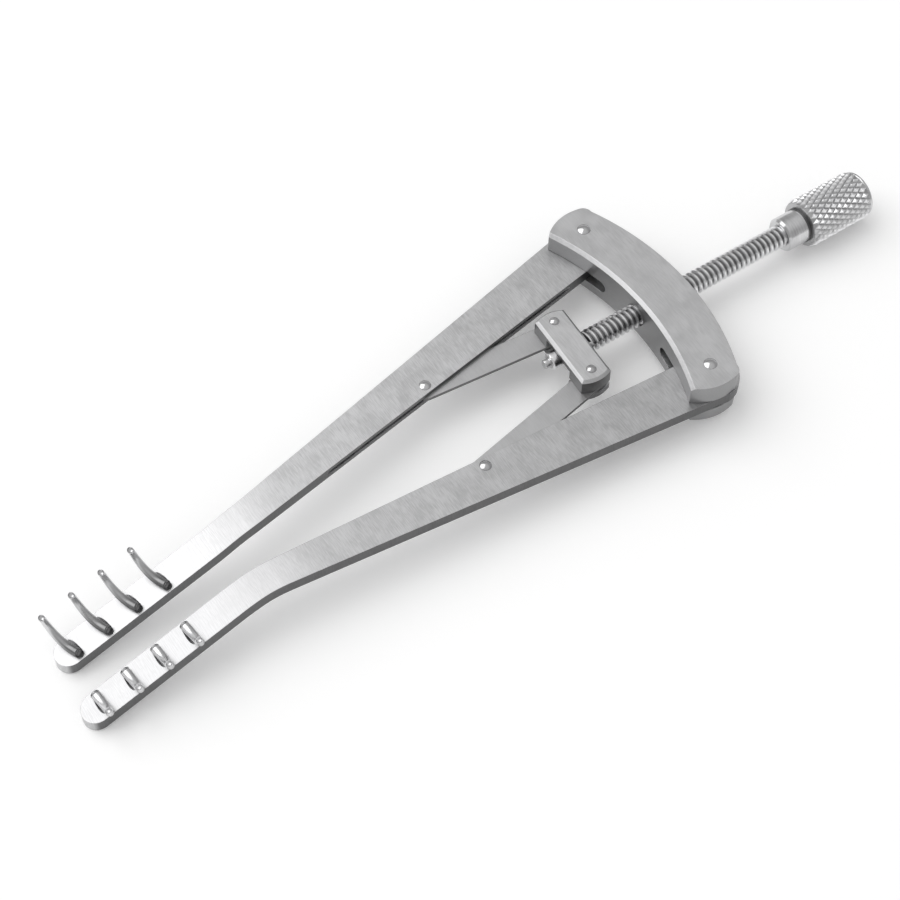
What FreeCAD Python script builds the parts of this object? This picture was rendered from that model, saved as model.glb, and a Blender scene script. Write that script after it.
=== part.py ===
import FreeCAD, Part
import math
import os
import Sketcher
from FreeCAD import Vector

# Self retaining wound retractor: two swinging arms with four blunt prongs each,
# a curved bracket at the rear, and a thumb screw that pushes a crosshead forward.
# Two links turn the crosshead's travel into the spread of the arms.
#
# Axes of the mechanism: X along the screw, from the arm tips to the knob,
# Y across from the near arm to the far arm, Z up.  Lengths in mm, angles in degrees.
# The mechanism's own origin is on the screw, midway between the two pivot pins.
# The whole tool then leans a little, so that it lies on its arm tips and its knob.

os.makedirs("parts", exist_ok=True)
DOC = FreeCAD.newDocument("Retractor")
SHEET = DOC.addObject("Spreadsheet::Sheet", "Sizes")

SIZES = [
    # Resting pose, from the mechanism's own axes to the table
    ("rest_tilt", "1.793", "lean of the tool about Y when it lies on its tips and its knob"),
    ("rest_shift_x", "20.837", "moves the middle of the length over the origin"),
    ("rest_shift_y", "-0.027", "moves the middle of the width over the origin"),
    ("rest_lift", "3.693", "height of the mechanism's origin above the table"),
    ("arm_lean", "2.83", "play of the joints: both arms lean to the near side"),
    ("crosshead_yaw", "4.0", "play of the joints: turn of the crosshead on the screw"),
    ("crosshead_drift", "-0.5", "play of the joints: sideways float of the crosshead"),
    # Fits
    ("running_fit", "0.04", "radial clearance of a pin that turns in its hole"),
    ("snug_fit", "0.01", "radial clearance of a pin that is riveted or pressed in"),
    ("side_play", "0.03", "clearance on each face of a link in its slot"),
    ("arm_play", "0.05", "clearance on each face of an arm in the bracket"),
    ("open_play", "0.34", "radial clearance of the links' loose holes at the crosshead"),
    # Arm section
    ("arm_top", "0.2", "upper face of the arms above the screw axis"),
    ("arm_thickness", "1.36", "thickness of the arm bars"),
    ("link_thickness", "0.40", "thickness of the links"),
    # Bracket
    ("bracket_top", "2.6", "upper face of the bracket"),
    ("bracket_bottom", "-2.7", "lower face of the bracket"),
    ("bracket_front_x", "-1.09", "X of the front face on the middle line"),
    ("front_arc_radius", "31.67", "radius of the hollow front face"),
    ("bracket_depth", "5.88", "depth of the bracket on the middle line"),
    ("rear_arc_radius", "31.14", "radius of the bulging rear face"),
    ("front_corner_y", "12.35", "half width at the front corners"),
    ("end_arc_level", "8.45", "Y of the centre of the broad end rounding"),
    ("crown_x", "1.1", "X where the broad end rounding meets the corner rounding"),
    ("crown_y", "13.6", "Y of the same point"),
    ("rear_corner_y", "12.5", "half width at the rear corners"),
    ("bracket_bevel", "0.36", "bright bevel along the front edges"),
    ("arm_slot_end", "4.8", "Y where the arm slots end"),
    # Pivot pins
    ("pivot_y", "10.9", "half distance between the pivot pins"),
    ("pivot_radius", "0.7", "radius of the pivot pins"),
    ("dome", "0.24", "height of a rivet's domed end"),
    # Arm outline, seen from above, with the arms in line with the screw
    ("arm_half_width", "2.92", "half width of an arm at its pivot"),
    ("tail_centre_x", "0.5", "X of the centre of the rounded tail"),
    ("inner_taper", "0.1222", "slope of the inner edge"),
    ("outer_taper", "0.1734", "slope of the outer edge"),
    ("bend_blend", "3.0", "length of the edge blend either side of the bend"),
    ("front_inner_y", "1.78", "inner edge of the straight front section"),
    ("front_outer_y", "5.03", "outer edge of the straight front section"),
    ("tip_x", "-71.0", "X of the arm tips"),
    # Arm side view
    ("fold_x", "-49.0", "X where the arm begins to fold down"),
    ("fold_radius", "10.0", "radius of the fold on the lower face"),
    ("fold_angle", "12.8", "drop of the front section"),
    # Slot for the link in the arm
    ("arm_rivet_x", "-25.0", "X of the link rivet"),
    ("arm_rivet_y", "5.83", "Y of the link rivet"),
    ("slot_depth", "2.8", "depth of the slot from the inner edge"),
    ("slot_front_x", "-39.0", "front end of the slot at the inner edge"),
    ("slot_rear_x", "-4.6", "rear end of the slot at the inner edge"),
    ("slot_runout", "2.4", "length over which the cutter leaves the slot"),
    ("arm_rivet_radius", "0.62", "radius of the link rivets in the arms"),
    # Prongs
    ("wire_radius", "0.5", "radius of the prong wire"),
    ("prong_bend", "3.25", "radius of the prong's curve on its centre line"),
    ("prong_dip", "14.0", "angle at which a prong starts down toward the arm"),
    ("prong_rise", "82.0", "angle at which a prong ends above the arm's face"),
    ("prong_turn_forward", "7.0", "angle by which a prong points toward the tip"),
    ("prong_root_y", "2.36", "Y of the prong roots on the front section"),
    ("prong_height", "0.34", "height of a prong's root above the arm, on its centre line"),
    ("prong_first", "7.2", "distance of the first prong from the fold"),
    ("prong_pitch", "3.51", "distance between prongs"),
    # Crosshead
    ("crosshead_x", "-9.75", "X of the middle of the crosshead"),
    ("crosshead_corner_y", "4.6", "half length at its corners"),
    ("crosshead_end_level", "1.42", "Y of the centre of the end roundings"),
    ("crosshead_half_width", "1.75", "half width of the crosshead along the screw"),
    ("crosshead_top", "1.65", "upper face of the crosshead"),
    ("crosshead_bottom", "-1.45", "lower face of the crosshead"),
    ("crosshead_bevel", "0.3", "bright bevel along its front edges"),
    ("cross_pin_y", "3.6", "half distance between the link rivets in the crosshead"),
    ("cross_pin_radius", "0.52", "radius of those rivets"),
    ("link_slot_end", "1.85", "Y where the link slots end"),
    ("recess_half_width", "2.25", "half width of the recess for the retaining collar"),
    ("recess_depth", "1.0", "depth of the recess from the front face"),
    ("recess_roof", "1.02", "upper end of the recess"),
    ("swivel_half_height", "0.72", "half height of the oblong hole for the screw's journal"),
    ("swivel_half_width", "1.38", "half width of the same hole, wide enough for the float"),
    # Links
    ("link_half_width", "1.35", "half width of the links"),
    # Screw
    ("thread_radius", "1.27", "outer radius of the thread"),
    ("thread_clearance", "0.05", "radial clearance of the thread in the bracket"),
    ("thread_gap", "0.18", "gap between the crosshead and the front end of the thread"),
    ("thread_length", "26.37", "length of the thread"),
    ("journal_radius", "0.65", "radius of the plain journal that turns in the crosshead"),
    ("stub_radius", "0.5", "radius of the riveted front end"),
    ("stub_length", "0.7", "length of the riveted front end"),
    ("spigot_radius", "0.95", "radius of the plain rear end inside the knob"),
    ("collar_radius", "0.95", "radius of the retaining collar"),
    ("collar_gap", "0.06", "gap between the collar and the floor of its recess"),
    ("collar_length", "1.74", "length of the retaining collar"),
    ("small_bevel", "0.12", "broken edges of the small turned parts"),
    # Knob
    ("sleeve_radius", "1.94", "radius of the smooth sleeve in front of the knob"),
    ("sleeve_length", "2.6", "length of that sleeve"),
    ("sleeve_bevel", "0.25", "bevel of its front edge"),
    ("knob_length", "8.55", "length of the knob"),
    ("knob_cap", "2.1", "thickness of the knob's closed end"),
    ("knob_radius", "2.78", "outer radius of the knob"),
    ("knob_ring_radius", "2.52", "radius of the smooth ring at the knob's front"),
    ("knob_ring_length", "0.6", "length of that ring"),
    ("knob_edge", "0.45", "rounding of the knob's rear edge"),
    # Distances that follow from the ones above
    ("zero", "0", "the axis"),
    ("front_arc_centre", "=bracket_front_x - front_arc_radius", "centre of the front face"),
    ("rear_arc_centre", "=bracket_front_x + bracket_depth - rear_arc_radius", ""),
    ("front_corner_x", "=front_arc_centre + sqrt(front_arc_radius ^ 2 - front_corner_y ^ 2)", ""),
    ("rear_corner_x", "=rear_arc_centre + sqrt(rear_arc_radius ^ 2 - rear_corner_y ^ 2)", ""),
    ("bracket_height", "=bracket_top - bracket_bottom", ""),
    ("arm_bottom", "=arm_top - arm_thickness", ""),
    ("arm_slot_top", "=arm_top + arm_play", ""),
    ("arm_slot_bottom", "=arm_bottom - arm_play", ""),
    ("arm_slot_round", "=(arm_slot_top - arm_slot_bottom) / 2", ""),
    ("arm_slot_middle", "=(arm_slot_top + arm_slot_bottom) / 2", ""),
    ("arm_slot_start", "=arm_slot_end + arm_slot_round", ""),
    ("link_top", "=(arm_top + arm_bottom + link_thickness) / 2", ""),
    ("link_slot_top", "=link_top + side_play", ""),
    ("link_slot_height", "=link_thickness + 2 * side_play", ""),
    ("link_bottom", "=link_top - link_thickness", ""),
    ("fold_centre_z", "=arm_bottom - fold_radius", ""),
    ("fold_top_radius", "=fold_radius + arm_thickness", ""),
    ("fold_end_x", "=fold_x - fold_top_radius * sin(fold_angle)", ""),
    ("fold_end_z", "=fold_centre_z + fold_top_radius * cos(fold_angle)", ""),
    ("fold_low_x", "=fold_x - fold_radius * sin(fold_angle)", ""),
    ("fold_low_z", "=fold_centre_z + fold_radius * cos(fold_angle)", ""),
    ("blank_length", "=fold_x - tip_x", "front section of the bar before it is cut to length"),
    ("blank_end_x", "=fold_end_x - blank_length * cos(fold_angle)", ""),
    ("blank_end_z", "=fold_end_z - blank_length * sin(fold_angle)", ""),
    ("blank_low_x", "=fold_low_x - blank_length * cos(fold_angle)", ""),
    ("blank_low_z", "=fold_low_z - blank_length * sin(fold_angle)", ""),
    ("blank_rear_x", "=tail_centre_x + 2 * arm_half_width", ""),
    ("blank_half", "=pivot_y + arm_half_width", "half width of the bar before it is cut to shape"),
    ("tail_end_x", "=tail_centre_x + arm_half_width", ""),
    ("inner_start", "=-arm_half_width", "inner edge at the pivot, counted from the pivot"),
    ("front_inner", "=front_inner_y - pivot_y", "edges of the front section, from the pivot"),
    ("front_outer", "=front_outer_y - pivot_y", ""),
    ("inner_bend_x", "=(front_inner - inner_start) / inner_taper", ""),
    ("outer_bend_x", "=(front_outer - arm_half_width) / outer_taper", ""),
    ("inner_blend_front_x", "=inner_bend_x - bend_blend", ""),
    ("outer_blend_front_x", "=outer_bend_x - bend_blend", ""),
    ("inner_blend_rear_x", "=inner_bend_x + bend_blend / sqrt(1 + inner_taper ^ 2)", ""),
    ("outer_blend_rear_x", "=outer_bend_x + bend_blend / sqrt(1 + outer_taper ^ 2)", ""),
    ("inner_blend_rear", "=inner_start + inner_taper * inner_blend_rear_x", ""),
    ("outer_blend_rear", "=arm_half_width + outer_taper * outer_blend_rear_x", ""),
    ("trim_front_x", "=tip_x - arm_half_width", "frame round the bar for the cutter"),
    ("trim_rear_x", "=blank_rear_x + arm_half_width", ""),
    ("trim_half", "=blank_half + arm_half_width", ""),
    ("front_middle", "=(front_inner + front_outer) / 2", ""),
    ("tip_round_x", "=tip_x + (front_outer_y - front_inner_y) / 2", ""),
    ("rivet_in", "=arm_rivet_y - pivot_y", ""),
    ("slot_front_deep_x", "=slot_front_x + slot_runout", ""),
    ("slot_rear_deep_x", "=slot_rear_x - slot_runout", ""),
    ("slot_front_mouth", "=inner_start + inner_taper * slot_front_x", ""),
    ("slot_rear_mouth", "=inner_start + inner_taper * slot_rear_x", ""),
    ("slot_front_floor", "=inner_start + inner_taper * slot_front_deep_x + slot_depth", ""),
    ("slot_rear_floor", "=inner_start + inner_taper * slot_rear_deep_x + slot_depth", ""),
    ("slot_front_out", "=slot_front_mouth - slot_depth", "outside the bar, so that the slot is open"),
    ("slot_rear_out", "=slot_rear_mouth - slot_depth", ""),
    ("prong_root", "=prong_root_y - pivot_y", "prong root, counted from the pivot"),
    ("prong_centre_out", "=prong_bend * sin(prong_dip)", "centre of the curve, from the root"),
    ("prong_centre_up", "=prong_bend * cos(prong_dip)", ""),
    ("prong_turn", "=prong_dip + prong_rise", "length of the curve as an angle"),
    ("groove_radius", "=wire_radius + snug_fit", ""),
    ("far_arm_pin_x", "=arm_rivet_x * cos(arm_lean) - rivet_in * sin(arm_lean)", ""),
    ("far_arm_pin_y", "=pivot_y + arm_rivet_x * sin(arm_lean) + rivet_in * cos(arm_lean)", ""),
    ("near_arm_pin_x", "=arm_rivet_x * cos(arm_lean) + rivet_in * sin(arm_lean)", ""),
    ("near_arm_pin_y", "=-pivot_y + arm_rivet_x * sin(arm_lean) - rivet_in * cos(arm_lean)", ""),
    ("far_cross_pin_x", "=crosshead_x + cross_pin_y * sin(crosshead_yaw)", ""),
    ("far_cross_pin_y", "=crosshead_drift + cross_pin_y * cos(crosshead_yaw)", ""),
    ("near_cross_pin_x", "=crosshead_x - cross_pin_y * sin(crosshead_yaw)", ""),
    ("near_cross_pin_y", "=crosshead_drift - cross_pin_y * cos(crosshead_yaw)", ""),
    ("far_reach_x", "=far_cross_pin_x - far_arm_pin_x", ""),
    ("far_reach_y", "=far_cross_pin_y - far_arm_pin_y", ""),
    ("near_reach_x", "=near_cross_pin_x - near_arm_pin_x", ""),
    ("near_reach_y", "=near_cross_pin_y - near_arm_pin_y", ""),
    ("far_link_length", "=sqrt(far_reach_x ^ 2 + far_reach_y ^ 2)", ""),
    ("near_link_length", "=sqrt(near_reach_x ^ 2 + near_reach_y ^ 2)", ""),
    ("far_link_angle", "=atan2(far_reach_y; far_reach_x)", ""),
    ("near_link_angle", "=atan2(near_reach_y; near_reach_x)", ""),
    ("recess_floor_x", "=recess_depth - crosshead_half_width", ""),
    ("thread_front_x", "=crosshead_x + crosshead_half_width + thread_gap", ""),
    ("thread_rear_x", "=thread_front_x + thread_length", ""),
    ("collar_rear_x", "=crosshead_x + recess_floor_x - collar_gap", ""),
    ("collar_front_x", "=collar_rear_x - collar_length", ""),
    ("stub_front_x", "=collar_front_x - stub_length", ""),
    ("knob_front_x", "=thread_rear_x + sleeve_length", ""),
    ("knob_rear_x", "=knob_front_x + knob_length", ""),
    ("spigot_end_x", "=knob_rear_x - knob_cap", "rear end of the screw, inside the knob"),
    ("swivel_flat", "=swivel_half_width - swivel_half_height", "half length of its straight part"),
    ("far_link_reach", "=far_link_length + link_half_width", ""),
    ("near_link_reach", "=near_link_length + link_half_width", ""),
    ("stub_flat", "=stub_radius - small_bevel", ""),
    ("stub_bevel_x", "=stub_front_x + small_bevel", ""),
    ("thread_nose", "=thread_radius - 2 * small_bevel", ""),
    ("thread_nose_x", "=thread_front_x + 2 * small_bevel", ""),
    ("collar_bore", "=journal_radius + snug_fit", ""),
    ("collar_face", "=collar_radius - small_bevel", ""),
    ("collar_front_bevel_x", "=collar_front_x + small_bevel", ""),
    ("collar_rear_bevel_x", "=collar_rear_x - small_bevel", ""),
    ("knob_bore", "=spigot_radius + snug_fit", ""),
    ("sleeve_face", "=sleeve_radius - sleeve_bevel", ""),
    ("sleeve_bevel_x", "=thread_rear_x + sleeve_bevel", ""),
    ("sleeve_rear_x", "=knob_front_x - snug_fit", ""),
    ("knob_bore_end_x", "=spigot_end_x + snug_fit", ""),
    ("knob_ring_face", "=knob_ring_radius - small_bevel", ""),
    ("knob_ring_bevel_x", "=knob_front_x + small_bevel", ""),
    ("knob_ring_x", "=knob_front_x + knob_ring_length", ""),
    ("knob_edge_x", "=knob_rear_x - knob_edge", ""),
    ("knob_edge_radius", "=knob_radius - knob_edge", ""),
    ("cut_margin", "=bracket_height + bracket_top", "distance of a cutter's start from the parts"),
]

for row, (alias, text, note) in enumerate(SIZES, start=1):
    SHEET.set("A%d" % row, alias)
    SHEET.set("B%d" % row, text)
    SHEET.set("C%d" % row, note)
    SHEET.setAlias("B%d" % row, alias)
DOC.recompute()

NODES = []
TINY = 1e-4
REST = (
    "placement(vector(Sizes.rest_shift_x; Sizes.rest_shift_y; Sizes.rest_lift);"
    " rotation(vector(0; 1; 0); Sizes.rest_tilt))"
)


def value(name):
    """Value of a sheet cell; a leading minus turns its sign."""
    if name.startswith("-"):
        return -value(name[1:])
    return float(SHEET.get(name))


def bound(name):
    """Expression that reads the same cell."""
    if name.startswith("-"):
        return "-Sizes." + name[1:]
    return "Sizes." + name


def signed(name, side):
    """Cell name for one side: side 1 keeps the sign, side -1 turns it."""
    if side > 0:
        return name
    return name[1:] if name.startswith("-") else "-" + name


def shift(x="0", y="0", z="0", axis="0; 0; 1", angle="0"):
    """Expression of a placement, from expressions of its parts."""
    return "placement(vector(%s; %s; %s); rotation(vector(%s); %s))" % (x, y, z, axis, angle)


def node(label, shape_object):
    """Names an object as one of the pieces that are written out."""
    shape_object.Label = label
    NODES.append(shape_object)
    return shape_object


def make_body(label, place):
    """A body with its label and a placement bound to the sheet."""
    body = DOC.addObject("PartDesign::Body", label)
    body.Label = label
    body.setExpression("Placement", place)
    return body


def make_sketch(body, name, role, offset="zero"):
    """A sketch on one of the body's own origin planes."""
    plane = [item for item in body.Origin.OriginFeatures if item.Role == role][0]
    sketch = body.newObject("Sketcher::SketchObject", name)
    sketch.AttachmentSupport = [(plane, "")]
    sketch.MapMode = "FlatFace"
    sketch.setExpression("AttachmentOffset.Base.z", bound(offset))
    return sketch


def pin_point(sketch, geometry, vertex, x_name, y_name):
    """Holds a vertex at two distances from the sketch's origin."""
    for kind, name in (("DistanceX", x_name), ("DistanceY", y_name)):
        index = sketch.addConstraint(
            Sketcher.Constraint(kind, -1, 1, geometry, vertex, value(name))
        )
        sketch.setExpression("Constraints[%d]" % index, bound(name))


def arc_centre(first, second, axis, level):
    """Centre equally far from two points, with one of its coordinates known."""
    middle = (first + second) / 2
    chord = second - first
    if axis == "x":
        return Vector(level, middle.y - chord.x * (level - middle.x) / chord.y, 0)
    return Vector(middle.x - chord.y * (level - middle.y) / chord.x, level, 0)


def outline(sketch, corners):
    """Closed outline through corners of (x, y, arc).

    arc is None for a straight edge to the next corner, or the known coordinate
    of the arc's centre as (axis, cell name).
    """
    points = [Vector(value(x), value(y), 0) for x, y, arc in corners]
    starts = []
    for index, (x_name, y_name, arc) in enumerate(corners):
        first = points[index]
        second = points[(index + 1) % len(points)]
        if arc is None:
            geometry = sketch.addGeometry(Part.LineSegment(first, second))
            starts.append((geometry, 1, 2))
        else:
            axis, level = arc
            centre = arc_centre(first, second, axis, value(level))
            from_angle = math.atan2(first.y - centre.y, first.x - centre.x)
            to_angle = math.atan2(second.y - centre.y, second.x - centre.x)
            turns_left = (first - centre).cross(second - centre).z > 0
            circle = Part.Circle(centre, Vector(0, 0, 1), (first - centre).Length)
            if turns_left:
                geometry = sketch.addGeometry(Part.ArcOfCircle(circle, from_angle, to_angle))
                starts.append((geometry, 1, 2))
            else:
                geometry = sketch.addGeometry(Part.ArcOfCircle(circle, to_angle, from_angle))
                starts.append((geometry, 2, 1))
            kind = "DistanceX" if axis == "x" else "DistanceY"
            fixed = sketch.addConstraint(
                Sketcher.Constraint(kind, -1, 1, geometry, 3, value(level))
            )
            sketch.setExpression("Constraints[%d]" % fixed, bound(level))
    for index, (geometry, begin, end) in enumerate(starts):
        following, follow_begin, follow_end = starts[(index + 1) % len(starts)]
        sketch.addConstraint(
            Sketcher.Constraint("Coincident", geometry, end, following, follow_begin)
        )
        pin_point(sketch, geometry, begin, corners[index][0], corners[index][1])


def round_hole(sketch, x_name, y_name, radius):
    """A circle whose radius is a sum of sheet cells."""
    total = sum(value(name) for name in radius)
    circle = Part.Circle(Vector(value(x_name), value(y_name), 0), Vector(0, 0, 1), total)
    geometry = sketch.addGeometry(circle)
    index = sketch.addConstraint(Sketcher.Constraint("Radius", geometry, total))
    sketch.setExpression("Constraints[%d]" % index, " + ".join(bound(name) for name in radius))
    pin_point(sketch, geometry, 3, x_name, y_name)


def pad(body, sketch, name, length):
    """Raises a sketch along its normal."""
    feature = body.newObject("PartDesign::Pad", name)
    feature.Profile = sketch
    feature.setExpression("Length", length)
    DOC.recompute()
    return feature


def pocket(body, sketch, name, length):
    """Cuts a sketch into the body against its normal, and checks that it took something away."""
    before = body.Shape.Volume
    feature = body.newObject("PartDesign::Pocket", name)
    feature.Profile = sketch
    feature.setExpression("Length", length)
    DOC.recompute()
    if body.Shape.Volume >= before:
        raise RuntimeError("%s cuts nothing" % name)
    return feature


def bevel(body, name, size, wanted):
    """Bevels every edge for which wanted(edge) is true."""
    base = body.Tip
    names = ["Edge%d" % (i + 1) for i, edge in enumerate(base.Shape.Edges) if wanted(edge)]
    feature = body.newObject("PartDesign::Chamfer", name)
    feature.Base = (base, names)
    feature.setExpression("Size", bound(size))
    DOC.recompute()
    if feature.Shape.isNull():
        raise RuntimeError("%s fails" % name)
    return feature


def level(edge, height):
    """True when the edge lies flat at the given height in its body's own axes."""
    box = edge.BoundBox
    return abs(box.ZMin - height) < TINY and abs(box.ZMax - height) < TINY


def make_rivet(label, place, radius, bottom, top):
    """A rivet: a round shank between two heights and a low dome at each end."""
    shank = DOC.addObject("Part::Cylinder", label + "_shank")
    shank.setExpression("Radius", bound(radius))
    shank.setExpression("Height", "%s - %s" % (bound(top), bound(bottom)))
    shank.setExpression("Placement", place + " * " + shift(z=bound(bottom)))
    ball_radius = "(%s ^ 2 + Sizes.dome ^ 2) / (2 * Sizes.dome)" % bound(radius)
    domes = []
    for end, turn, face in (("upper", "0", bound(top)), ("lower", "180", bound(bottom))):
        dome = DOC.addObject("Part::Sphere", "%s_%s_dome" % (label, end))
        dome.setExpression("Radius", ball_radius)
        dome.setExpression("Angle1", "asin((%s - Sizes.dome) / (%s))" % (ball_radius, ball_radius))
        spot = shift(z=face, axis="1; 0; 0", angle=turn) + " * " + shift(
            z="Sizes.dome - " + ball_radius)
        dome.setExpression("Placement", place + " * " + spot)
        domes.append(dome)
    whole = DOC.addObject("Part::MultiFuse", label)
    whole.Shapes = [shank] + domes
    whole.Refine = True
    DOC.recompute()
    return node(label, whole)


def make_bracket():
    """Curved bar with a slot at each end for an arm and a bore for the screw."""
    body = make_body("bracket", REST)
    sketch = make_sketch(body, "bracket_outline", "XY_Plane", "bracket_bottom")
    outline(sketch, [
        ("front_corner_x", "front_corner_y", ("y", "end_arc_level")),
        ("crown_x", "crown_y", ("y", "rear_corner_y")),
        ("rear_corner_x", "rear_corner_y", ("x", "rear_arc_centre")),
        ("rear_corner_x", "-rear_corner_y", ("y", "-rear_corner_y")),
        ("crown_x", "-crown_y", ("y", "-end_arc_level")),
        ("front_corner_x", "-front_corner_y", ("x", "front_arc_centre")),
    ])
    pad(body, sketch, "bracket_bar", "Sizes.bracket_height")
    top, bottom = value("bracket_top"), value("bracket_bottom")
    front = value("front_arc_radius")
    bevel(body, "bracket_front_bevel", "bracket_bevel", lambda edge: (
        level(edge, top) or level(edge, bottom)) and abs(edge.Curve.Radius - front) < TINY)
    slots = make_sketch(body, "arm_slots", "YZ_Plane", "cut_margin")
    for side in (1, -1):
        start = signed("arm_slot_start", side)
        outer = signed("trim_half", side)
        outline(slots, [
            (start, "arm_slot_bottom", ("x", start)),
            (signed("arm_slot_end", side), "arm_slot_middle", ("x", start)),
            (start, "arm_slot_top", None),
            (outer, "arm_slot_top", None),
            (outer, "arm_slot_bottom", None),
        ])
    pocket(body, slots, "arm_slot_cut", "2 * Sizes.cut_margin")
    bore = make_sketch(body, "screw_bore", "YZ_Plane", "cut_margin")
    round_hole(bore, "zero", "zero", ["thread_radius", "thread_clearance"])
    pocket(body, bore, "screw_bore_cut", "2 * Sizes.cut_margin")
    holes = make_sketch(body, "pivot_holes", "XY_Plane", "bracket_top")
    for side in (1, -1):
        round_hole(holes, "zero", signed("pivot_y", side), ["pivot_radius", "snug_fit"])
    pocket(body, holes, "pivot_hole_cut", "Sizes.bracket_height")
    node("bracket", body)


def arm_place(side):
    """Placement of an arm: at its pivot, with the lean of the resting pose."""
    return REST + " * " + shift(y=bound(signed("pivot_y", side)), angle="Sizes.arm_lean")


def make_wire(label, place, radius):
    """A round wire bent to an arc about Z, with a rounded end at the root and at the tip."""
    curve = DOC.addObject("Part::Torus", label + "_curve")
    curve.setExpression("Radius1", "Sizes.prong_bend")
    curve.setExpression("Radius2", bound(radius))
    curve.setExpression("Angle3", "Sizes.prong_turn")
    curve.setExpression("Placement", place)
    root = DOC.addObject("Part::Sphere", label + "_root")
    root.setExpression("Radius", bound(radius))
    root.setExpression("Placement", place + " * " + shift(x="Sizes.prong_bend"))
    tip = DOC.addObject("Part::Sphere", label + "_tip")
    tip.setExpression("Radius", bound(radius))
    tip.setExpression("Placement", place + " * " + shift(angle="Sizes.prong_turn")
                      + " * " + shift(x="Sizes.prong_bend"))
    return [curve, root, tip]


def make_arm(name, side):
    """An arm: folded bar cut to its outline, slot for the link, grooves, and four prongs."""
    body = make_body(name + "_bar", arm_place(side))
    strip = make_sketch(body, name + "_side_view", "XZ_Plane", "-blank_half")
    outline(strip, [
        ("blank_rear_x", "arm_top", None),
        ("fold_x", "arm_top", ("x", "fold_x")),
        ("fold_end_x", "fold_end_z", None),
        ("blank_end_x", "blank_end_z", None),
        ("blank_low_x", "blank_low_z", None),
        ("fold_low_x", "fold_low_z", ("x", "fold_x")),
        ("fold_x", "arm_bottom", None),
        ("blank_rear_x", "arm_bottom", None),
    ])
    pad(body, strip, name + "_strip", "2 * Sizes.blank_half")
    plan = make_sketch(body, name + "_plan", "XY_Plane", "cut_margin")
    outline(plan, [
        ("trim_front_x", "-trim_half", None),
        ("trim_rear_x", "-trim_half", None),
        ("trim_rear_x", "trim_half", None),
        ("trim_front_x", "trim_half", None),
    ])
    outline(plan, [
        ("tail_centre_x", signed("inner_start", side), ("x", "tail_centre_x")),
        ("tail_end_x", "zero", ("x", "tail_centre_x")),
        ("tail_centre_x", signed("arm_half_width", side), None),
        ("outer_blend_rear_x", signed("outer_blend_rear", side), ("x", "outer_blend_front_x")),
        ("outer_blend_front_x", signed("front_outer", side), None),
        ("tip_round_x", signed("front_outer", side), ("x", "tip_round_x")),
        ("tip_x", signed("front_middle", side), ("x", "tip_round_x")),
        ("tip_round_x", signed("front_inner", side), None),
        ("inner_blend_front_x", signed("front_inner", side), ("x", "inner_blend_front_x")),
        ("inner_blend_rear_x", signed("inner_blend_rear", side), None),
    ])
    pocket(body, plan, name + "_trim", "4 * Sizes.cut_margin")
    slot = make_sketch(body, name + "_link_slot", "XY_Plane", "link_slot_top")
    outline(slot, [
        ("slot_front_x", signed("slot_front_mouth", side), None),
        ("slot_front_deep_x", signed("slot_front_floor", side), None),
        ("slot_rear_deep_x", signed("slot_rear_floor", side), None),
        ("slot_rear_x", signed("slot_rear_mouth", side), None),
        ("slot_rear_x", signed("slot_rear_out", side), None),
        ("slot_front_x", signed("slot_front_out", side), None),
    ])
    pocket(body, slot, name + "_link_slot_cut", "Sizes.link_slot_height")
    holes = make_sketch(body, name + "_holes", "XY_Plane", "arm_top")
    round_hole(holes, "zero", "zero", ["pivot_radius", "running_fit"])
    round_hole(holes, "arm_rivet_x", signed("rivet_in", side), ["arm_rivet_radius", "snug_fit"])
    pocket(body, holes, name + "_hole_cut", "Sizes.arm_thickness")

    grooves = []
    for number in range(1, 5):
        along = "-(Sizes.prong_first + %d * Sizes.prong_pitch)" % (number - 1)
        place = " * ".join([
            arm_place(side),
            shift("Sizes.fold_end_x", "0", "Sizes.fold_end_z", "0; 1; 0", "-Sizes.fold_angle"),
            shift(along, bound(signed("prong_root", side)), "Sizes.prong_height",
                  angle="Sizes.prong_turn_forward" if side > 0
                  else "180 - Sizes.prong_turn_forward"),
            shift(y="Sizes.prong_centre_out", z="Sizes.prong_centre_up"),
            shift(axis="1; 0; 0", angle="-Sizes.prong_dip"),
            shift(axis="0; 1; 0", angle="90"),
        ])
        label = "prong%s_%d" % (name[len("arm"):], number)
        prong = DOC.addObject("Part::MultiFuse", label)
        prong.Shapes = make_wire(label, place, "wire_radius")
        node(label, prong)
        grooves += make_wire(label + "_groove", place, "groove_radius")
    cutter = DOC.addObject("Part::MultiFuse", name + "_grooves")
    cutter.Shapes = grooves
    arm = DOC.addObject("Part::Cut", name)
    arm.Base = body
    arm.Tool = cutter
    DOC.recompute()
    node(name, arm)
    rivet_place = arm_place(side) + " * " + shift(
        "Sizes.arm_rivet_x", bound(signed("rivet_in", side)))
    make_rivet("arm_rivet" + name[len("arm"):], rivet_place,
               "arm_rivet_radius", "arm_bottom", "arm_top")


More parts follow.
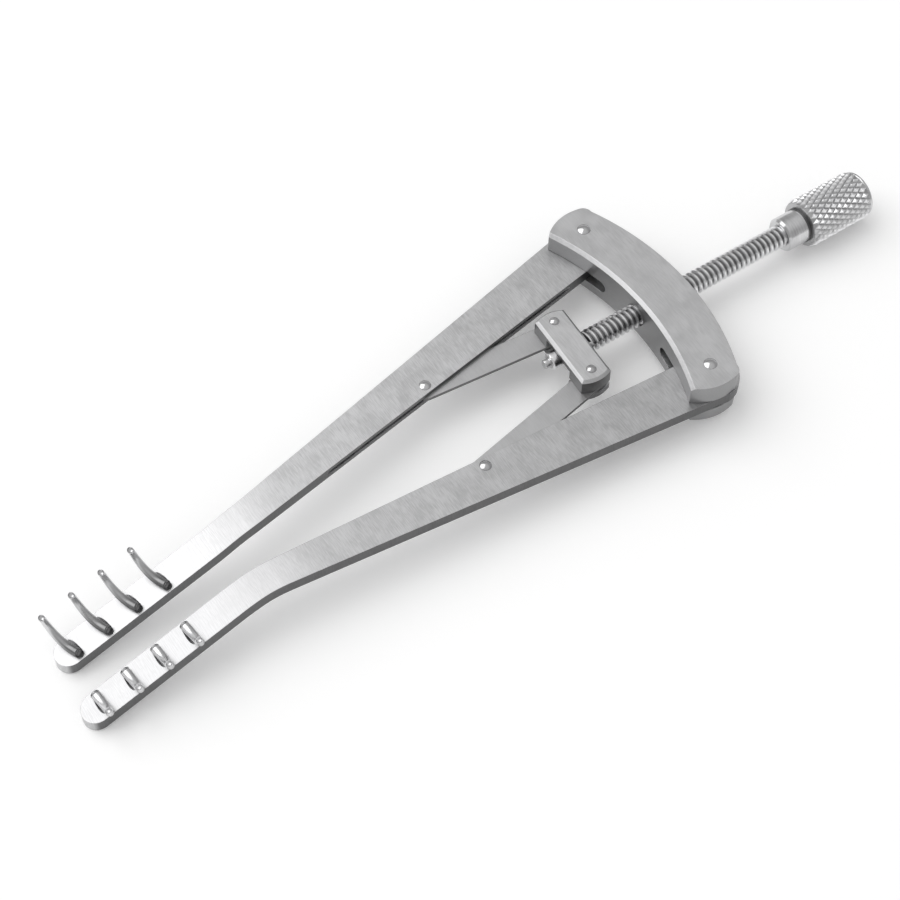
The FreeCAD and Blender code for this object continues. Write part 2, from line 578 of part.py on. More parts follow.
def make_link(name, which):
    """A flat link with round ends: a turning hole in front, a loose hole at the rear."""
    length = which + "_link_length"
    place = REST + " * " + shift(
        "Sizes.%s_arm_pin_x" % which, "Sizes.%s_arm_pin_y" % which,
        angle="Sizes.%s_link_angle" % which)
    body = make_body(name, place)
    sketch = make_sketch(body, name + "_outline", "XY_Plane", "link_bottom")
    outline(sketch, [
        ("zero", "link_half_width", ("x", "zero")),
        ("-link_half_width", "zero", ("x", "zero")),
        ("zero", "-link_half_width", None),
        (length, "-link_half_width", ("x", length)),
        (which + "_link_reach", "zero", ("x", length)),
        (length, "link_half_width", None),
    ])
    pad(body, sketch, name + "_plate", "Sizes.link_thickness")
    holes = make_sketch(body, name + "_holes", "XY_Plane", "link_top")
    round_hole(holes, "zero", "zero", ["arm_rivet_radius", "running_fit"])
    round_hole(holes, length, "zero", ["cross_pin_radius", "open_play"])
    pocket(body, holes, name + "_hole_cut", "Sizes.link_thickness")
    node(name, body)


def crosshead_place():
    """Placement of the crosshead on the screw, with its float and its yaw."""
    return REST + " * " + shift(
        "Sizes.crosshead_x", "Sizes.crosshead_drift", angle="-Sizes.crosshead_yaw")


def make_crosshead():
    """Block on the screw's nose, slotted at both ends for the links."""
    body = make_body("crosshead", crosshead_place())
    sketch = make_sketch(body, "crosshead_outline", "XY_Plane", "crosshead_bottom")
    outline(sketch, [
        ("-crosshead_half_width", "crosshead_corner_y", ("y", "crosshead_end_level")),
        ("crosshead_half_width", "crosshead_corner_y", None),
        ("crosshead_half_width", "-crosshead_corner_y", ("y", "-crosshead_end_level")),
        ("-crosshead_half_width", "-crosshead_corner_y", None),
    ])
    pad(body, sketch, "crosshead_block", "Sizes.crosshead_top - Sizes.crosshead_bottom")
    top, bottom = value("crosshead_top"), value("crosshead_bottom")
    front = -value("crosshead_half_width")
    bevel(body, "crosshead_bevel_cut", "crosshead_bevel", lambda edge: level(edge, top) or (
        level(edge, bottom) and edge.BoundBox.XMax < front + TINY))
    slots = make_sketch(body, "crosshead_link_slots", "XY_Plane", "link_slot_top")
    for side in (1, -1):
        near = signed("link_slot_end", side)
        outer = signed("blank_half", side)
        outline(slots, [
            ("-blank_half", near, None),
            ("blank_half", near, None),
            ("blank_half", outer, None),
            ("-blank_half", outer, None),
        ])
    pocket(body, slots, "crosshead_slot_cut", "Sizes.link_slot_height")
    recess = make_sketch(body, "collar_recess", "YZ_Plane", "recess_floor_x")
    outline(recess, [
        ("-recess_half_width", "-cut_margin", None),
        ("recess_half_width", "-cut_margin", None),
        ("recess_half_width", "recess_roof", None),
        ("-recess_half_width", "recess_roof", None),
    ])
    pocket(body, recess, "collar_recess_cut", "Sizes.cut_margin")
    swivel = make_sketch(body, "journal_hole", "YZ_Plane", "cut_margin")
    outline(swivel, [
        ("-swivel_flat", "-swivel_half_height", None),
        ("swivel_flat", "-swivel_half_height", ("x", "swivel_flat")),
        ("swivel_half_width", "zero", ("x", "swivel_flat")),
        ("swivel_flat", "swivel_half_height", None),
        ("-swivel_flat", "swivel_half_height", ("x", "-swivel_flat")),
        ("-swivel_half_width", "zero", ("x", "-swivel_flat")),
    ])
    pocket(body, swivel, "journal_hole_cut", "2 * Sizes.cut_margin")
    holes = make_sketch(body, "crosshead_rivet_holes", "XY_Plane", "crosshead_top")
    for side in (1, -1):
        round_hole(holes, "zero", signed("cross_pin_y", side), ["cross_pin_radius", "snug_fit"])
    pocket(body, holes, "crosshead_hole_cut", "Sizes.crosshead_top - Sizes.crosshead_bottom")
    node("crosshead", body)
    for word, side in (("far", 1), ("near", -1)):
        place = crosshead_place() + " * " + shift(y=bound(signed("cross_pin_y", side)))
        make_rivet("crosshead_rivet_" + word, place,
                   "cross_pin_radius", "crosshead_bottom", "crosshead_top")


def turned(label, corners):
    """A piece turned about the screw's axis, from the half outline above it."""
    body = make_body(label, REST)
    sketch = make_sketch(body, label + "_half_outline", "XY_Plane")
    outline(sketch, corners)
    feature = body.newObject("PartDesign::Revolution", label + "_turning")
    feature.Profile = sketch
    feature.ReferenceAxis = (sketch, ["H_Axis"])
    feature.Angle = 360
    DOC.recompute()
    return node(label, body)


make_bracket()
for word, side in (("far", 1), ("near", -1)):
    make_rivet("pivot_pin_" + word, REST + " * " + shift(y=bound(signed("pivot_y", side))),
               "pivot_radius", "bracket_bottom", "bracket_top")
    make_arm("arm_" + word, side)
    make_link("link_" + word, word)
make_crosshead()

turned("screw", [
    ("stub_front_x", "zero", None),
    ("stub_front_x", "stub_flat", None),
    ("stub_bevel_x", "stub_radius", None),
    ("collar_front_x", "stub_radius", None),
    ("collar_front_x", "journal_radius", None),
    ("thread_front_x", "journal_radius", None),
    ("thread_front_x", "thread_nose", None),
    ("thread_nose_x", "thread_radius", None),
    ("thread_rear_x", "thread_radius", None),
    ("thread_rear_x", "spigot_radius", None),
    ("spigot_end_x", "spigot_radius", None),
    ("spigot_end_x", "zero", None),
])
turned("retaining_collar", [
    ("collar_front_x", "collar_bore", None),
    ("collar_rear_x", "collar_bore", None),
    ("collar_rear_x", "collar_face", None),
    ("collar_rear_bevel_x", "collar_radius", None),
    ("collar_front_bevel_x", "collar_radius", None),
    ("collar_front_x", "collar_face", None),
])
turned("neck_sleeve", [
    ("thread_rear_x", "knob_bore", None),
    ("sleeve_rear_x", "knob_bore", None),
    ("sleeve_rear_x", "sleeve_radius", None),
    ("sleeve_bevel_x", "sleeve_radius", None),
    ("thread_rear_x", "sleeve_face", None),
])
turned("knob", [
    ("knob_front_x", "knob_bore", None),
    ("knob_bore_end_x", "knob_bore", None),
    ("knob_bore_end_x", "zero", None),
    ("knob_rear_x", "zero", None),
    ("knob_rear_x", "knob_edge_radius", ("x", "knob_edge_x")),
    ("knob_edge_x", "knob_radius", None),
    ("knob_ring_x", "knob_radius", None),
    ("knob_ring_x", "knob_ring_radius", None),
    ("knob_ring_bevel_x", "knob_ring_radius", None),
    ("knob_front_x", "knob_ring_face", None),
])
DOC.recompute()

for item in DOC.Objects:
    if "Invalid" in item.State or "Error" in item.State:
        raise RuntimeError("%s is %s" % (item.Label, item.State))
for item in NODES:
    if item.Shape.isNull() or not item.Shape.isValid() or not item.Shape.Solids:
        raise RuntimeError("%s has no sound solid" % item.Label)
    item.Shape.exportStep("parts/%s.step" % item.Label)
    box = item.Shape.BoundBox
    print("%-22s %9.3f mm3  solids %d  x %7.2f %7.2f  y %7.2f %7.2f  z %6.2f %6.2f" % (
        item.Label, item.Shape.Volume, len(item.Shape.Solids),
        box.XMin, box.XMax, box.YMin, box.YMax, box.ZMin, box.ZMax))
everything = Part.makeCompound([item.Shape for item in NODES]).BoundBox
print("whole tool", everything)
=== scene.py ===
"""Dresses the self retaining retractor: brushed bars, wire prongs, cut thread, knurled knob.

Lengths of the scene are in metres in the row frame: +X from the arm tips to the knob, +Z up.
Sizes of the pieces are in millimetres on the mechanism's own axes, with X along the screw.
"""

import logging
import math
from dataclasses import dataclass, field, replace
from enum import Enum

import bmesh
import bpy
from mathutils import Euler, Matrix, Vector

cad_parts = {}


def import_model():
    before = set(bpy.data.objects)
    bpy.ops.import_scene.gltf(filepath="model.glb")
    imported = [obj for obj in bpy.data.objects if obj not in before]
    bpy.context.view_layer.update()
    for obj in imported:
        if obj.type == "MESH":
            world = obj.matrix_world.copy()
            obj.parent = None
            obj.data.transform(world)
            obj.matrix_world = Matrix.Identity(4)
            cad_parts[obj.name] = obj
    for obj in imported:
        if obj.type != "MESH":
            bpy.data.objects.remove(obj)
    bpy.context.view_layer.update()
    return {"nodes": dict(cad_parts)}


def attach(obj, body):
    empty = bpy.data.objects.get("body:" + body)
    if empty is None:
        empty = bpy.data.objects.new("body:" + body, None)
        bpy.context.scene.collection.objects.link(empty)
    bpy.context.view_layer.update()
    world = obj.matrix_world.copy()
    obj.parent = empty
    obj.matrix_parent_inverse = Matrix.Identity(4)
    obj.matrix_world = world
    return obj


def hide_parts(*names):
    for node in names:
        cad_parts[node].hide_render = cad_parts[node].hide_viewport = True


LOG = logging.getLogger("retractor")
MM = 0.001

# Modelling.
SMOOTH_ANGLE = math.radians(35.0)
ACROSS_X = (0.0, math.radians(90.0), 0.0)
SAME_PLACE = 1e-7  # metres; points of one ring or one seam lie closer than this
DOUBLES = 1e-6  # metres; points closer than this are merged
END_FACE = 0.5  # an end face has more than this of X in its normal, and a round side less
ALONG_WIRE = "along"  # attribute that runs from 0 at a wire's root to 1 at its tip

# Steel.
BRIGHTEST = 0.95
COOL = 1.01  # blue of the steel, as a share of its red and green
# Painted shade: upright faces are drawn darker than flat ones, fading between these two values.
UPRIGHT_TO_FLAT = (0.35, 0.75)  # vertical part of the normal of an upright and of a flat face
DARK_ROOT_SPAN = (0.1, 0.8)  # part of a wire's length over which its dark root fades
MARK_SHARE = 0.65  # share of the grinding marks in the pattern; the rest is clouds
MARK_DETAIL = 4.0
CLOUD_DETAIL = 3.0
CLOUD_SCALE = (420.0, 420.0, 420.0)  # clouds per metre
LAYER_STRENGTH = 0.6  # strength of each finer layer of a pattern
TONE_SPREAD = (0.36, 0.64)  # part of the pattern that is spread over the brightness
ROUGHNESS_SPREAD = (0.3, 0.7)  # part of the pattern that is spread over the roughness
SMOOTHEST = 0.8  # share of the mean roughness
ROUGHEST = 1.25
EDGE_SAMPLES = 4

# Sockets of a mix of two colours, which share their names with other sockets.
MIX_FIRST, MIX_SECOND, MIX_RESULT = 6, 7, 2


def metres(sizes: tuple[float, float]) -> tuple[float, float]:
    """Two sizes in metres, from millimetres."""
    return sizes[0] * MM, sizes[1] * MM


@dataclass(frozen=True)
class Rest:
    """Where the mechanism lies on the table.

    Attributes:
        tilt: Lean of the screw's axis, in degrees; the tool lies on its tips and its knob.
        shift: Place of the mechanism's origin, in millimetres.
    """

    tilt: float = 1.793
    shift: tuple[float, float, float] = (20.837, -0.027, 3.693)

    def matrix(self) -> Matrix:
        """Matrix from the mechanism's own axes to the row frame."""
        place = Matrix.Translation(Vector(self.shift) * MM)
        return place @ Matrix.Rotation(math.radians(self.tilt), 4, "Y")

    def lay(self, piece: bpy.types.Object) -> None:
        """Lays a piece that was made on the mechanism's axes in its resting place.

        Args:
            piece: The piece to lay down.
        """
        piece.matrix_world = self.matrix() @ piece.matrix_world
        Workbench.settle(piece)


class Workbench:
    """Small steps that every piece needs while it is modelled."""

    @staticmethod
    def clear() -> None:
        """Leaves edit mode and deselects everything."""
        if bpy.context.mode != "OBJECT":
            bpy.ops.object.mode_set(mode="OBJECT")
        bpy.ops.object.select_all(action="DESELECT")

    @staticmethod
    def take(name: str) -> bpy.types.Object:
        """Names the primitive that was just added.

        Args:
            name: Name of the piece.

        Returns:
            The new piece.
        """
        piece = bpy.context.active_object
        piece.name = name
        return piece

    @staticmethod
    def choose(piece: bpy.types.Object) -> None:
        """Selects one piece alone, in object mode.

        Args:
            piece: The piece to select.
        """
        Workbench.clear()
        piece.select_set(True)
        bpy.context.view_layer.objects.active = piece

    @staticmethod
    def settle(piece: bpy.types.Object) -> None:
        """Moves a piece's place into its mesh, so that its object stands at the origin.

        Args:
            piece: The piece to settle.
        """
        Workbench.choose(piece)
        bpy.ops.object.transform_apply(location=True, rotation=True, scale=True)

    @staticmethod
    def edit(piece: bpy.types.Object, mode: str = "FACE") -> bmesh.types.BMesh:
        """Enters edit mode with nothing selected.

        Args:
            piece: The piece to work on.
            mode: What is selected: VERT, EDGE or FACE.

        Returns:
            The piece's mesh, for selecting by place or normal.
        """
        Workbench.choose(piece)
        bpy.ops.object.mode_set(mode="EDIT")
        return Workbench.pick(piece, mode)

    @staticmethod
    def pick(piece: bpy.types.Object, mode: str) -> bmesh.types.BMesh:
        """Drops the selection in edit mode and reads the mesh again.

        Args:
            piece: The piece in edit mode.
            mode: What is selected next: VERT, EDGE or FACE.

        Returns:
            The piece's mesh as it is now.
        """
        bpy.ops.mesh.select_mode(type=mode)
        bpy.ops.mesh.select_all(action="DESELECT")
        return bmesh.from_edit_mesh(piece.data)

    @staticmethod
    def bar(name: str, radius: float, front: float, rear: float,
            sides: int) -> bpy.types.Object:
        """Adds a plain bar along the screw's axis, to be shaped.

        Args:
            name: Name of the piece.
            radius: Its radius, in millimetres.
            front: X of its front face.
            rear: X of its rear face.
            sides: Faces round it.

        Returns:
            The bar.
        """
        Workbench.clear()
        bpy.ops.mesh.primitive_cylinder_add(
            vertices=sides,
            radius=radius * MM,
            depth=(rear - front) * MM,
            location=((front + rear) / 2.0 * MM, 0.0, 0.0),
            rotation=ACROSS_X,
        )
        bar = Workbench.take(name)
        Workbench.settle(bar)
        return bar

    @staticmethod
    def cut(place: float, keep: str = "both") -> None:
        """Cuts the mesh in edit mode square across the screw's axis.

        Points that lie within 0.1 mm of the cut count as lying on it and stay.

        Args:
            place: X of the cut, in millimetres.
            keep: The side that stays: both, front or rear. A cut end is filled.
        """
        bpy.ops.mesh.select_all(action="SELECT")
        bpy.ops.mesh.bisect(
            plane_co=(place * MM, 0.0, 0.0),
            plane_no=(1.0, 0.0, 0.0),
            use_fill=keep != "both",
            clear_outer=keep == "front",
            clear_inner=keep == "rear",
        )

    @staticmethod
    def finish(piece: bpy.types.Object, material: bpy.types.Material, smooth: bool) -> None:
        """Turns the faces outward, leaves edit mode and gives the piece its material.

        Args:
            piece: The piece to finish.
            material: Its material.
            smooth: Whether its round faces are shaded smooth.
        """
        Workbench.edit(piece)
        bpy.ops.mesh.select_all(action="SELECT")
        bpy.ops.mesh.normals_make_consistent(inside=False)
        bpy.ops.object.mode_set(mode="OBJECT")
        piece.data.materials.clear()
        piece.data.materials.append(material)
        if smooth:
            bpy.ops.object.shade_smooth_by_angle(angle=SMOOTH_ANGLE)


class NodeBench:
    """Adds and wires the nodes of one material."""

    def __init__(self, name: str) -> None:
        """Starts a material with its shader.

        Args:
            name: Name of the material.
        """
        self.material = bpy.data.materials.new(name)
        self.material.use_nodes = True
        self.nodes = self.material.node_tree.nodes
        self.links = self.material.node_tree.links
        self.shader = self.nodes["Principled BSDF"]

    def feed(self, target: bpy.types.NodeSocket,
             value: float | tuple | bpy.types.NodeSocket) -> None:
        """Links a socket to an input, or sets the input's own value.

        Args:
            target: The input.
            value: A number, a vector or a socket.
        """
        if isinstance(value, bpy.types.NodeSocket):
            self.links.new(value, target)
        else:
            target.default_value = value

    def add(self, kind: str, **values: float | tuple | bpy.types.NodeSocket) -> bpy.types.Node:
        """Adds a node and fills or links its inputs.

        Args:
            kind: Type of the node, without its ShaderNode prefix.
            **values: Inputs by name, with _ for a space: a number, a vector or a socket.

        Returns:
            The new node.
        """
        node = self.nodes.new("ShaderNode" + kind)
        for name, value in values.items():
            self.feed(node.inputs[name.replace("_", " ")], value)
        return node

    def math(self, operation: str,
             *values: float | bpy.types.NodeSocket) -> bpy.types.NodeSocket:
        """Works out one number.

        Args:
            operation: The operation's name.
            *values: Its numbers or sockets.

        Returns:
            The socket of the result.
        """
        node = self.nodes.new("ShaderNodeMath")
        node.operation = operation
        for target, value in zip(node.inputs, values):
            self.feed(target, value)
        return node.outputs["Value"]

    def range(self, value: bpy.types.NodeSocket, read: tuple[float, float],
              become: tuple[float, float]) -> bpy.types.NodeSocket:
        """Maps one range of a number softly to another.

        Args:
            value: The number's socket.
            read: Start and end of the range that is read.
            become: What its start and its end become.

        Returns:
            The socket of the result.
        """
        node = self.add("MapRange", Value=value)
        node.interpolation_type = "SMOOTHSTEP"
        names = ("From Min", "From Max", "To Min", "To Max")
        for name, number in zip(names, (*read, *become)):
            node.inputs[name].default_value = number
        return node.outputs["Result"]

    def fade(self, tone: bpy.types.NodeSocket, value: bpy.types.NodeSocket,
             read: tuple[float, float], share: float) -> bpy.types.NodeSocket:
        """Changes a brightness where a number is low, and softly less where it is higher.

        Args:
            tone: Socket of the brightness.
            value: Socket of the number.
            read: Where the full change ends, and where none is left.
            share: The full change, as a share of the brightness.

        Returns:
            The socket of the new brightness.
        """
        return self.math("MULTIPLY", tone, self.range(value, read, (share, 1.0)))


class RoomBench(NodeBench):
    """Adds and wires the nodes of the room."""

    def __init__(self, world: bpy.types.World) -> None:
        """Takes over the world's own nodes.

        Args:
            world: The world to work on.
        """
        self.nodes = world.node_tree.nodes
        self.links = world.node_tree.links


class Grain(Enum):
    """Direction in which a surface was ground or brushed."""

    ACROSS = "across"
    ALONG = "along"
    ROUND = "round"
    EVEN = "even"


@dataclass(frozen=True)
class SteelFinish:
    """A stainless steel surface with its grinding marks.

    Attributes:
        name: Name of the material.
        tone: Brightness of the bare metal.
        roughness: Mean roughness of the surface.
        grain: Direction of the grinding marks.
        turn: Turn of the marks about the vertical, in degrees.
        marks: Strength of the marks in the colour, from 0 to 1.
        relief: Height of the marks, in millimetres.
        mark_length: Length of a mark, in millimetres.
        mark_width: Width of a mark, in millimetres.
        side: Brightness of the upright faces, as a share of the flat ones: painted shade by the
            direction of the face.
        groove: Radii about the screw's axis between which the painted shade of the grooves
            fades out, in millimetres.
        groove_shade: Brightness at the bottom of the grooves, as a share of the top: painted
            shade.
        highlight_span: X between which the bar grows brighter towards its tips, in millimetres:
            a painted highlight.
        highlight_gain: Brightness of the painted highlight at the tips, as a share of the rest.
        bright_end: Whether the faces that look forward are spared the painted shade of upright
            faces and stay as bright as the flat ones.
        fold: X of a fold, half the width of its arc, half the width over which the light
            on it turns, all in millimetres, and its slope as a tangent.
        root_tone: Brightness at a wire's root, as a share of the rest; the wire is darker
            towards its root.
        soft_edge: Width of the softened edges, in millimetres.
        rest: Where the mechanism lies.
    """

    name: str
    tone: float
    roughness: float
    grain: Grain = Grain.ACROSS
    turn: float = 0.0
    marks: float = 0.2
    relief: float = 0.004
    mark_length: float = 3.0
    mark_width: float = 0.12
    side: float = 1.0
    groove: tuple[float, float] | None = None
    groove_shade: float = 1.0
    highlight_span: tuple[float, float] | None = None
    highlight_gain: float = 1.0
    bright_end: bool = False
    fold: tuple[float, float, float, float] | None = None
    root_tone: float = 1.0
    soft_edge: float = 0.07
    rest: Rest = Rest()

    def mark_scale(self) -> tuple[float, float, float]:
        """Counts the marks per metre.

        Returns:
            The number of marks along X, Y and Z of the mechanism.
        """
        few = 1.0 / (self.mark_length * MM)
        many = 1.0 / (self.mark_width * MM)
        return {
            Grain.ACROSS: (many, few, few),
            Grain.ALONG: (few, many, many),
            Grain.ROUND: (many, few, few),
            Grain.EVEN: (few, few, few),
        }[self.grain]

    def own_axes(self, bench: NodeBench) -> bpy.types.NodeSocket:
        """Reads the place on the piece along the mechanism's own axes.

        Args:
            bench: The material's nodes.

        Returns:
            The socket of the place.
        """
        turned = Euler((0.0, -math.radians(self.rest.tilt), 0.0))
        origin = turned.to_matrix() @ (Vector(self.rest.shift) * -MM)
        place = bench.add("TexCoord")
        laid = bench.add("Mapping", Vector=place.outputs["Object"],
                         Location=tuple(origin), Rotation=tuple(turned))
        swung = bench.add("Mapping", Vector=laid.outputs["Vector"],
                          Rotation=(0.0, 0.0, math.radians(self.turn)))
        return swung.outputs["Vector"]

    def noise(self, bench: NodeBench, place: bpy.types.NodeSocket,
              scale: tuple[float, float, float], detail: float) -> bpy.types.NodeSocket:
        """A cloudy pattern that is stretched along the axes.

        Args:
            bench: The material's nodes.
            place: Where the pattern is read.
            scale: Its size along the three axes, per metre.
            detail: How many finer layers it has.

        Returns:
            The socket of the pattern, around one half.
        """
        stretched = bench.add("Mapping", Vector=place, Scale=scale)
        pattern = bench.add("TexNoise", Vector=stretched.outputs["Vector"],
                            Scale=1.0, Detail=detail, Roughness=LAYER_STRENGTH)
        return pattern.outputs["Fac"]

    def shade(self, bench: NodeBench, place: bpy.types.NodeSocket,
              tone: bpy.types.NodeSocket) -> bpy.types.NodeSocket:
        """Paints shade on upright faces and in grooves, darkens wires towards their roots, and
        paints a highlight towards the bar's tips.

        Args:
            bench: The material's nodes.
            place: Place on the mechanism's axes.
            tone: Brightness of the clean flat metal.

        Returns:
            The socket of the brightness.
        """
        # Painted shade on upright faces, by the direction of the face; with bright_end, faces
        # that look forward keep the flat faces' brightness.
        if self.side < 1.0:
            normal = bench.add("SeparateXYZ", Vector=bench.add("TexCoord").outputs["Normal"])
            flat = bench.math("ABSOLUTE", normal.outputs["Z"])
            if self.bright_end:
                forward = bench.math("MULTIPLY", normal.outputs["X"], -1.0)
                flat = bench.math("MAXIMUM", flat, forward)
            tone = bench.fade(tone, flat, UPRIGHT_TO_FLAT, self.side)
        # Painted shade in the grooves: darker towards the screw's axis.
        if self.groove:
            spot = bench.add("SeparateXYZ", Vector=place)
            squares = [bench.math("POWER", spot.outputs[axis], 2.0) for axis in ("Y", "Z")]
            radius = bench.math("SQRT", bench.math("ADD", *squares))
            tone = bench.fade(tone, radius, metres(self.groove), self.groove_shade)
        # Painted highlight: brighter towards the bar's tips.
        if self.highlight_span:
            along = bench.add("SeparateXYZ", Vector=place).outputs["X"]
            tone = bench.fade(tone, along, metres(self.highlight_span), self.highlight_gain)
        # Darker towards the wire's root.
        if self.root_tone < 1.0:
            along = bench.add("Attribute")
            along.attribute_name = ALONG_WIRE
            tone = bench.fade(tone, along.outputs["Fac"], DARK_ROOT_SPAN, self.root_tone)
        return bench.math("MINIMUM", tone, BRIGHTEST)

    def soften_fold(self, bench: NodeBench, place: bpy.types.NodeSocket,
                    edges: bpy.types.Node) -> bpy.types.NodeSocket:
        """Rounds the light over a fold as on a bar that was bent over a soft die.

        Two hollows are added up, and each is half the fold's slope steep on both sides of
        the fold. The wide one turns the light slowly from one flat to the other, and the
        narrow one is turned over, to take back the quick turn of the bar's own arc.

        Args:
            bench: The material's nodes.
            place: Place on the mechanism's axes.
            edges: The node that rounds the edges.

        Returns:
            The socket of the surface's direction.
        """
        if not self.fold:
            return edges.outputs["Normal"]
        middle, arc, soft, slope = self.fold
        along = bench.add("SeparateXYZ", Vector=place).outputs["X"]
        away = bench.math("ABSOLUTE", bench.math("SUBTRACT", along, middle * MM))
        hollows = []
        for half, share in ((soft, -slope / 4.0), (arc, slope / 4.0)):
            inside = bench.math("MAXIMUM", bench.math("SUBTRACT", half * MM, away), 0.0)
            square = bench.math("POWER", inside, 2.0)
            hollows.append(bench.math("MULTIPLY", square, share / (half * MM)))
        bump = bench.add("Bump", Strength=1.0, Distance=1.0,
                         Height=bench.math("ADD", *hollows), Normal=edges.outputs["Normal"])
        return bump.outputs["Normal"]

    def build(self) -> bpy.types.Material:
        """Makes the material with its nodes.

        Returns:
            The finished material.
        """
        bench = NodeBench(self.name)
        inputs = bench.shader.inputs
        inputs["Metallic"].default_value = 1.0
        place = self.own_axes(bench)
        marks = self.noise(bench, place, self.mark_scale(), MARK_DETAIL)
        clouds = self.noise(bench, place, CLOUD_SCALE, CLOUD_DETAIL)
        faint_clouds = bench.math("MULTIPLY", clouds, 1.0 - MARK_SHARE)
        mixed = bench.math("MULTIPLY_ADD", marks, MARK_SHARE, faint_clouds)
        dull = self.tone * (1.0 - self.marks)
        bright = min(self.tone * (1.0 + self.marks), BRIGHTEST)
        tone = self.shade(bench, place, bench.range(mixed, TONE_SPREAD, (dull, bright)))
        paint = bench.add("CombineColor", Red=tone, Green=tone,
                          Blue=bench.math("MULTIPLY", tone, COOL))
        bench.feed(inputs["Base Color"], paint.outputs["Color"])
        roughness = (self.roughness * SMOOTHEST, self.roughness * ROUGHEST)
        bench.feed(inputs["Roughness"], bench.range(mixed, ROUGHNESS_SPREAD, roughness))
        edges = bench.add("Bevel", Radius=self.soft_edge * MM)
        edges.samples = EDGE_SAMPLES
        bump = bench.add("Bump", Strength=1.0, Distance=self.relief * MM,
                         Height=marks, Normal=self.soften_fold(bench, place, edges))
        bench.feed(inputs["Normal"], bump.outputs["Normal"])
        return bench.material


@dataclass
class ThreadedScrew:
    """The screw: cut thread, plain journal and riveted nose.

    Attributes:
        rest: Where the mechanism lies.
        finish: Finish of the thread.
        plain: Finish of the journal and the nose.
        crest: Outer radius of the thread.
        root: Radius at the bottom of the thread.
        pitch: Distance between two crests.
        front: X of the front end of the thread.
        rear: X of its rear end.
        steps: Faces round one turn of the thread.
        spare: Turns that are wound beyond each end, before the ends are cut.
        journal: Radius of the plain journal.
        journal_sides: Faces round the journal.
        stub: Radius of the riveted front end.
        stub_front: X of the front end of the screw.
        stub_length: Length of the riveted front end.
        stub_edge: Rounding of its edge.
        stub_edge_steps: Faces across that rounding.
    """

    rest: Rest
    finish: SteelFinish
    plain: SteelFinish
    crest: float = 1.27
    root: float = 0.94
    pitch: float = 0.65
    front: float = -7.82
    rear: float = 18.56
    steps: int = 32
    spare: int = 2
    journal: float = 0.65
    journal_sides: int = 40
    stub: float = 0.5
    stub_front: float = -13.0
    stub_length: float = 0.7
    stub_edge: float = 0.12
    stub_edge_steps: int = 3

    def tooth(self, start: float) -> bpy.types.Object:
        """Draws one tooth of the thread: one pitch long, with its crest in the first half.

        Args:
            start: X of the tooth's front end.

        Returns:
            The tooth, as a line above the screw's axis.
        """
        Workbench.clear()
        half = self.pitch / 2.0
        quarter = self.pitch / 4.0
        bpy.ops.mesh.primitive_plane_add(
            size=self.pitch * MM,
            location=((start + half) * MM, half * MM, self.root * MM),
        )
        tooth = Workbench.take("screw_thread")
        Workbench.settle(tooth)
        mesh = Workbench.edit(tooth, "VERT")
        for vertex in mesh.verts:
            vertex.select = vertex.co.y > quarter * MM
        bpy.ops.mesh.delete(type="VERT")
        bpy.ops.mesh.select_all(action="SELECT")
        bpy.ops.mesh.subdivide(number_cuts=3)
        mesh = Workbench.pick(tooth, "VERT")
        for vertex in mesh.verts:
            vertex.select = 0.5 * quarter < vertex.co.x / MM - start < 2.5 * quarter
        bpy.ops.transform.translate(value=(0.0, 0.0, (self.crest - self.root) * MM))
        bpy.ops.object.mode_set(mode="OBJECT")
        return tooth

    def thread(self) -> bpy.types.Object:
        """Winds one tooth of the thread along the screw and cuts off both ends.

        Its ends lie at the crosshead and in the neck sleeve. They keep points within 0.1 mm
        of their cuts, so they are a little uneven, and their faces have some open edges.

        Returns:
            The threaded rod.
        """
        start = self.front - self.spare * self.pitch
        rod = self.tooth(start)
        wind = rod.modifiers.new("wind", "SCREW")
        wind.axis = "X"
        wind.screw_offset = self.pitch * MM
        wind.iterations = math.ceil((self.rear - start) / self.pitch) + self.spare
        wind.steps = self.steps
        wind.render_steps = self.steps
        wind.use_merge_vertices = True
        wind.merge_threshold = SAME_PLACE
        bpy.ops.object.modifier_apply(modifier=wind.name)
        Workbench.edit(rod)
        bpy.ops.mesh.select_all(action="SELECT")
        bpy.ops.mesh.remove_doubles(threshold=DOUBLES)
        Workbench.cut(self.front, "rear")
        Workbench.cut(self.rear, "front")
        return rod

    def nose(self) -> bpy.types.Object:
        """Turns the journal that carries the crosshead, and its riveted end.

        Returns:
            The nose of the screw, which reaches one pitch into the thread.
        """
        nose = Workbench.bar("screw_nose", self.journal, self.stub_front + self.stub_length,
                             self.front + self.pitch, self.journal_sides)
        mesh = Workbench.edit(nose)
        for face in mesh.faces:
            face.select = face.normal.x < -END_FACE
        bpy.ops.mesh.inset(thickness=(self.journal - self.stub) * MM, depth=0.0)
        bpy.ops.mesh.extrude_region_move(
            TRANSFORM_OT_translate={"value": (-self.stub_length * MM, 0.0, 0.0)})
        bpy.ops.mesh.bevel(
            offset=self.stub_edge * MM, segments=self.stub_edge_steps, affect="EDGES")
        return nose

    def build(self) -> list[bpy.types.Object]:
        """Builds, lays down and dresses the screw.

        Returns:
            The pieces of the screw.
        """
        pieces = []
        for piece, finish in ((self.thread(), self.finish), (self.nose(), self.plain)):
            Workbench.finish(piece, finish.build(), smooth=True)
            self.rest.lay(piece)
            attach(piece, "screw")
            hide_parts("screw")
            pieces.append(piece)
        return pieces


